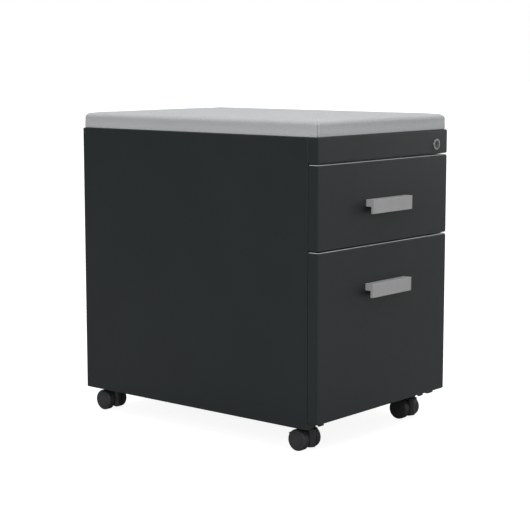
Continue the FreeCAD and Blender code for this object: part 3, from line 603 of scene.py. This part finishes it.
def swell(piece, target):
    # cloth with air inside on a remeshed copy; each point of the piece then moves by the average
    # of the cloth's capped moves near it, weighted by a bell of the distance
    remesh = target.modifiers.new("voxels", "REMESH")
    remesh.mode = "VOXEL"
    remesh.voxel_size = air["voxel"]
    applyAll(target)
    rest = readPoints(target.data)
    seated = np.nonzero(rest[:, 2] < rest[:, 2].min() + air["seated"])[0]
    target.vertex_groups.new(name="seated").add(seated.tolist(), 1.0, "REPLACE")
    sim = target.modifiers.new("air", "CLOTH")
    sim.settings.vertex_group_mass = "seated"
    sim.settings.use_pressure = True
    sim.settings.uniform_pressure_force = air["pressure"]
    sim.settings.effector_weights.gravity = 0.0
    sim.settings.tension_stiffness = air["stiffness"]
    sim.settings.compression_stiffness = air["stiffness"]
    sim.settings.bending_stiffness = air["bending"]
    for step in range(1, air["steps"] + 1):
        bpy.context.scene.frame_set(step)
    applyAll(target)
    bpy.context.scene.frame_set(1)
    move = readPoints(target.data) - rest
    length = np.linalg.norm(move, axis=1, keepdims=True)
    move *= np.minimum(1.0, air["cap"] / np.maximum(length, 1e-9))
    print("cloth moved", round(float(length.mean()) * 1000, 2), "mm on average before the cap")
    move, rest = move.astype(np.float32), rest.astype(np.float32)
    points = readPoints(piece.data)
    moved = []
    for part in np.array_split(points.astype(np.float32), air["batches"]):
        square = np.sum(part ** 2, 1)[:, None] + np.sum(rest ** 2, 1)[None] - 2 * part @ rest.T
        weight = np.exp(-np.maximum(square, 0) / (2 * air["reach"] ** 2))
        moved.append(weight @ move / weight.sum(1, keepdims=True))
    writePoints(piece.data, points + np.concatenate(moved))


def sewCorners(piece, low, high):
    # each upright corner is drawn in by a narrow bell, with two wider bells out beside it and a
    # round dimple near the top, all fading with the distance in from the corner
    co = readPoints(piece.data)
    dimpleTop = high[2] - seam["dimpleDrop"]
    for sx in (-1, 1):
        for sy in (-1, 1):
            corner = np.array([high[0] if sx > 0 else low[0], high[1] if sy > 0 else low[1]])
            inward = np.array([-sx, -sy]) / math.sqrt(2)
            along = np.array([-sy, sx]) / math.sqrt(2)
            away = co[:, :2] - corner
            across = away @ along
            near = np.exp(-np.clip(away @ inward - seam["start"], 0, None) / seam["fade"])
            valley = np.exp(-(across / seam["half"]) ** 2)
            roll = np.exp(-((np.abs(across) - seam["rollAway"]) / seam["rollHalf"]) ** 2)
            pull = (seam["depth"] * valley - seam["bulge"] * roll) * near
            co[:, :2] += pull[:, None] * inward
            up = (co[:, 2] - dimpleTop) / seam["dimpleTall"]
            dimple = np.exp(-((across / seam["dimpleHalf"]) ** 2 + up ** 2)) * near
            co[:, :2] += seam["dimpleIn"] * dimple[:, None] * inward
            co[:, 2] -= seam["dimpleDown"] * dimple
    writePoints(piece.data, co)


def seatCushion():
    low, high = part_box("seat_cushion")
    low, high = np.array(low), np.array(high)
    points, faces = cushionGrid(low, high, 0.0)
    piece = makePiece("seat_cushion_cover", points, faces, seatCloth, "case")
    core, coreFaces = cushionGrid(low, high, air["inset"])
    target = makePiece("cushion_sim", core, coreFaces, seatCloth)
    swell(piece, target)
    bpy.data.objects.remove(target)
    sewCorners(piece, low, high)
    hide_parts("seat_cushion")


seatCushion()
print("cushion made")


# light grey beads round the drawer fronts' top edges: a painted highlight where light catches the gaps
# between the fronts

strip = {"thick": 0.00095, "corner": 0.0012, "sink": 0.00005, "width": 0.0032, "columns": 96,
         "soft": 0.3, "cut": 0.3}


def beadRound(low, high):
    # bead laid round a rectangle: a section with softened corners carried round the rounded outline,
    # where a point of the section is (inset, height) and both ways round are closed
    columns, width = strip["columns"], strip["width"]
    halfX, halfY = (high[0] - low[0]) / 2, (high[1] - low[1]) / 2
    px, py = slabOutline(np.linspace(0, 1, columns, endpoint=False), halfX, halfY, strip["corner"])
    thick = high[2] - low[2]
    soft = thick * strip["soft"]
    cut = soft * strip["cut"]
    section = np.array([(0, 0), (0, thick - soft), (cut, thick - cut), (soft, thick),
                        (width - soft, thick), (width - cut, thick - cut), (width, thick - soft),
                        (width, 0)])
    inset = section[:, :1]
    x = px * (halfX - inset) / halfX + (low[0] + high[0]) / 2
    y = py * (halfY - inset) / halfY + (low[1] + high[1]) / 2
    points = np.stack([x, y, np.repeat(section[:, 1:] + low[2], columns, 1)], -1)
    rows = len(section)
    faces = np.array(gridFaces(rows + 1, columns)) % (rows * columns)
    return facingOut(points, faces.tolist())


def paintedHighlightStrips():
    for drawer in ("box_drawer", "file_drawer"):
        low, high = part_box(drawer + "_front")
        top = high[2]
        points, faces = beadRound((low[0], low[1], top - strip["sink"]),
                                  (high[0], high[1], top + strip["thick"]))
        # the bead's light grey is a painted highlight along each gap
        makePiece(drawer + "_painted_highlight_strip", points, faces, paintedHighlightBead, drawer)


paintedHighlightStrips()
print("edge strips made")


# rubber bumpers on the backs of the drawer fronts

bumper = {"radius": 0.0046, "height": 0.0010, "sink": 0.0002, "sideInset": 0.0125, "endInset": 0.0160,
          "sides": 40, "dome": ((0.35, 1.0), (0.62, 0.95), (0.85, 0.84), (0.97, 0.66), (1.0, 0.40),
                                (1.0, 0.02))}


def frontBumpers():
    # four low domes a drawer, revolved about y: the profile goes from the rim to the flat top, as
    # parts of the height and of the radius
    b = bumper
    for drawer in ("box_drawer", "file_drawer"):
        low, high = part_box(drawer + "_liner")
        r, h = b["radius"], b["height"]
        profile = [(-b["sink"], r)] + [(h * up, r * out) for up, out in b["dome"]]
        domes = []
        for x in (low[0] + b["sideInset"], high[0] - b["sideInset"]):
            for z in (low[2] + b["endInset"], high[2] - b["endInset"]):
                domes.append(facingOut(*turnedPart(profile, (x, high[1], z), "y", b["sides"])))
        points, faces = joinParts(domes)
        makePiece(drawer + "_bumpers", points, faces, bumperRubber, drawer)


frontBumpers()
print("bumpers made")


# caster wheels: turned shells with a capped face, a softened tread and ribs inside

wheel = {
    "shoulder": 0.0030, "dome": 0.0011, "cap": 0.60, "grooveWidth": 0.0007, "grooveDepth": 0.0005,
    "rim": 0.0040, "disc": 0.0030, "hub": 0.0055, "bore": 0.0026, "axleDepth": 0.0036,
    "treadGroove": 0.00035, "grooveHalf": 0.0007, "grooveFloor": 0.0003,
    "innerEdge": ((0.0008, 0.0), (0.0002, 0.0003), (0.0, 0.0009)), "lipDrop": 0.0003, "lipCut": 0.0004,
    "rimFillet": 0.0008, "hubFillet": 0.0006, "hubEase": 0.0003, "endRadius": 0.0002,
    "ribs": 8, "ribHalf": 0.0006, "ribDepth": 0.0035, "ribSink": 0.0004, "sides": 80, "sharp": 32.0,
}


def wheelProfile(radius, width):
    # (distance in from the outer face, radius): out along a face whose dome grows with the square of
    # the radius, round a quarter circle to the tread, over it and back to the bore
    w = wheel
    face = radius - w["shoulder"]
    cap = w["cap"] * radius
    dish = np.linspace(0.02, 1, 7) * cap
    profile = [(w["dome"] * (r / face) ** 2 * 0.9, r) for r in dish]
    edge = w["dome"] * (cap / face) ** 2
    profile += [(edge + w["grooveDepth"], cap + w["grooveWidth"] * 0.35),
                (edge + w["grooveDepth"], cap + w["grooveWidth"] * 0.75),
                (edge, cap + w["grooveWidth"] * 1.2)]
    outer = np.linspace(cap + 2 * w["grooveWidth"], face, 4)
    profile += [(w["dome"] * (r / face) ** 2, r) for r in outer]
    turn = np.radians(np.linspace(12, 90, 8))
    profile += [(w["dome"] + w["shoulder"] * (1 - math.cos(t)), face + w["shoulder"] * math.sin(t))
                for t in turn]
    middle = (w["dome"] + w["shoulder"] + width) / 2
    lowered = radius - w["treadGroove"]
    profile += [(middle - w["grooveHalf"], radius), (middle - w["grooveFloor"], lowered),
                (middle + w["grooveFloor"], lowered), (middle + w["grooveHalf"], radius)]
    profile += [(width - back, radius - down) for back, down in w["innerEdge"]]
    rim, disc, hub = radius - w["rim"], w["disc"], w["hub"]
    profile += [(width, rim + w["lipDrop"]), (width - w["lipCut"], rim), (disc + w["rimFillet"], rim),
                (disc, rim - w["rimFillet"]), (disc, hub + w["hubFillet"]), (disc + w["hubFillet"], hub),
                (width - w["hubEase"], hub), (width, hub - w["hubEase"]), (width, w["bore"]),
                (w["axleDepth"], w["bore"]), (w["axleDepth"], w["endRadius"])]
    return profile


def wheelRibs(radius, width):
    # flat ribs from the hub to the rim, turned evenly round the axle
    w = wheel
    sink = w["ribSink"]
    corners = np.array([(x, y, z) for x in (w["disc"] - sink, w["disc"] + w["ribDepth"])
                        for y in (-w["ribHalf"], w["ribHalf"])
                        for z in (w["hub"] - sink, radius - w["rim"] + sink)])
    faces = [[0, 1, 3, 2], [4, 6, 7, 5], [0, 4, 5, 1], [2, 3, 7, 6], [0, 2, 6, 4], [1, 5, 7, 3]]
    ribs = []
    for turn in np.linspace(0, 2 * math.pi, w["ribs"], endpoint=False):
        y = corners[:, 1] * math.cos(turn) - corners[:, 2] * math.sin(turn)
        z = corners[:, 1] * math.sin(turn) + corners[:, 2] * math.cos(turn)
        ribs.append(facingOut(np.stack([corners[:, 0], y, z], -1), faces))
    return ribs


def casterWheels():
    for corner in ("front_left", "front_right", "rear_left", "rear_right"):
        for letter, side in (("a", -1), ("b", 1)):
            name = "wheel_" + corner + "_" + letter
            low, high = (np.array(end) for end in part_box(name))
            width, radius = high[0] - low[0], (high[2] - low[2]) / 2
            shell = facingOut(*turnedPart(wheelProfile(radius, width), (0, 0, 0), "x", wheel["sides"]))
            points, faces = joinParts([shell] + wheelRibs(radius, width))
            if side > 0:                          # the outer face looks to the right
                points = points * (-1, 1, 1)
                faces = [face[::-1] for face in faces]
            start = (low if side < 0 else high)[0]
            points = points + (start, (low[1] + high[1]) / 2, radius)
            piece = makePiece(name + "_shell", points, faces, treadNylon, name)
            piece.data.set_sharp_from_angle(angle=math.radians(wheel["sharp"]))
            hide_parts(name)


casterWheels()
print("wheels made")
